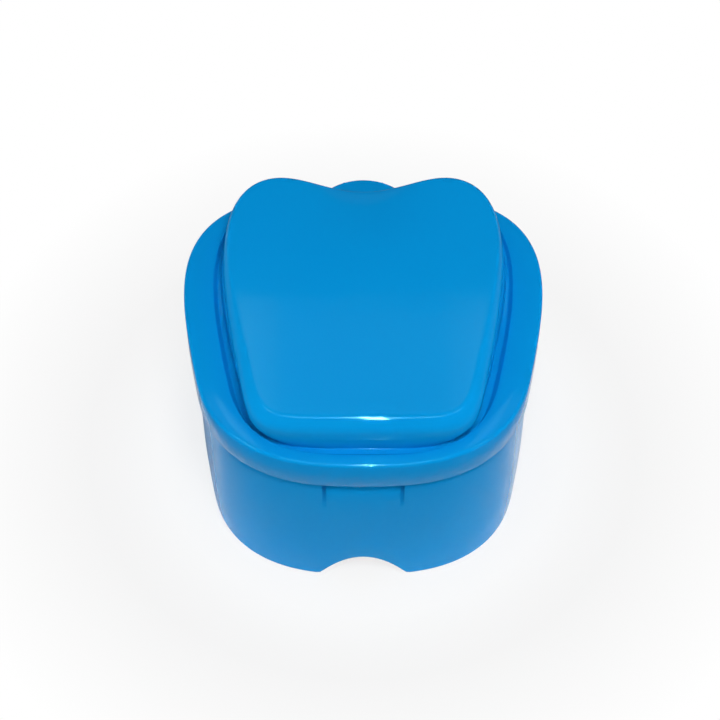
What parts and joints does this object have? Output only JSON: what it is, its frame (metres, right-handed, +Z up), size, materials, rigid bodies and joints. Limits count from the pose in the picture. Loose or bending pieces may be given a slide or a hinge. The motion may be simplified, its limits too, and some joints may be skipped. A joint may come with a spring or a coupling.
{
  "type": "denture box",
  "caption": "Denture soaking box shaped like a tooth: a cup on two root-like feet, a hinged lid with a raised crown panel, and a lift-out strainer basket inside.",
  "frame": {"origin": "centre of the whole box's footprint rectangle, on the table it stands on", "axes": "+Z up; -Y is the front, where the finger recess is; the hinge is at the back, at +Y; +X is to the right seen from the front"},
  "size_m": [0.095, 0.0948, 0.0706],
  "materials": {
    "shell_plastic": "glossy moulded polypropylene, bright blue",
    "lid_plastic": "glossy moulded polypropylene, bright blue",
    "basket_plastic": "satin moulded polypropylene, lighter blue",
    "pin_steel": "drawn steel wire"
  },
  "bodies": {
    "base": {"body_shell": "shell_plastic", "hinge_pin": "pin_steel"},
    "cover": {"lid": "lid_plastic"},
    "basket": {"strainer_basket": "basket_plastic"}
  },
  "joints": [
    {"name": "lid_hinge", "type": "hinge", "parent": "base", "child": "cover", "pos_m": [0, 0.0443, 0.0474], "axis": [-1, 0, 0], "range_deg": [0, 110]},
    {"name": "basket_lift", "type": "slide", "parent": "base", "child": "basket", "axis": [0, 0, 1], "range_m": [0, 0.0445]}
  ],
  "couplings": [
    {"joint": "basket_lift", "follows": "lid_hinge", "m_per_rad": 0.023}
  ]
}
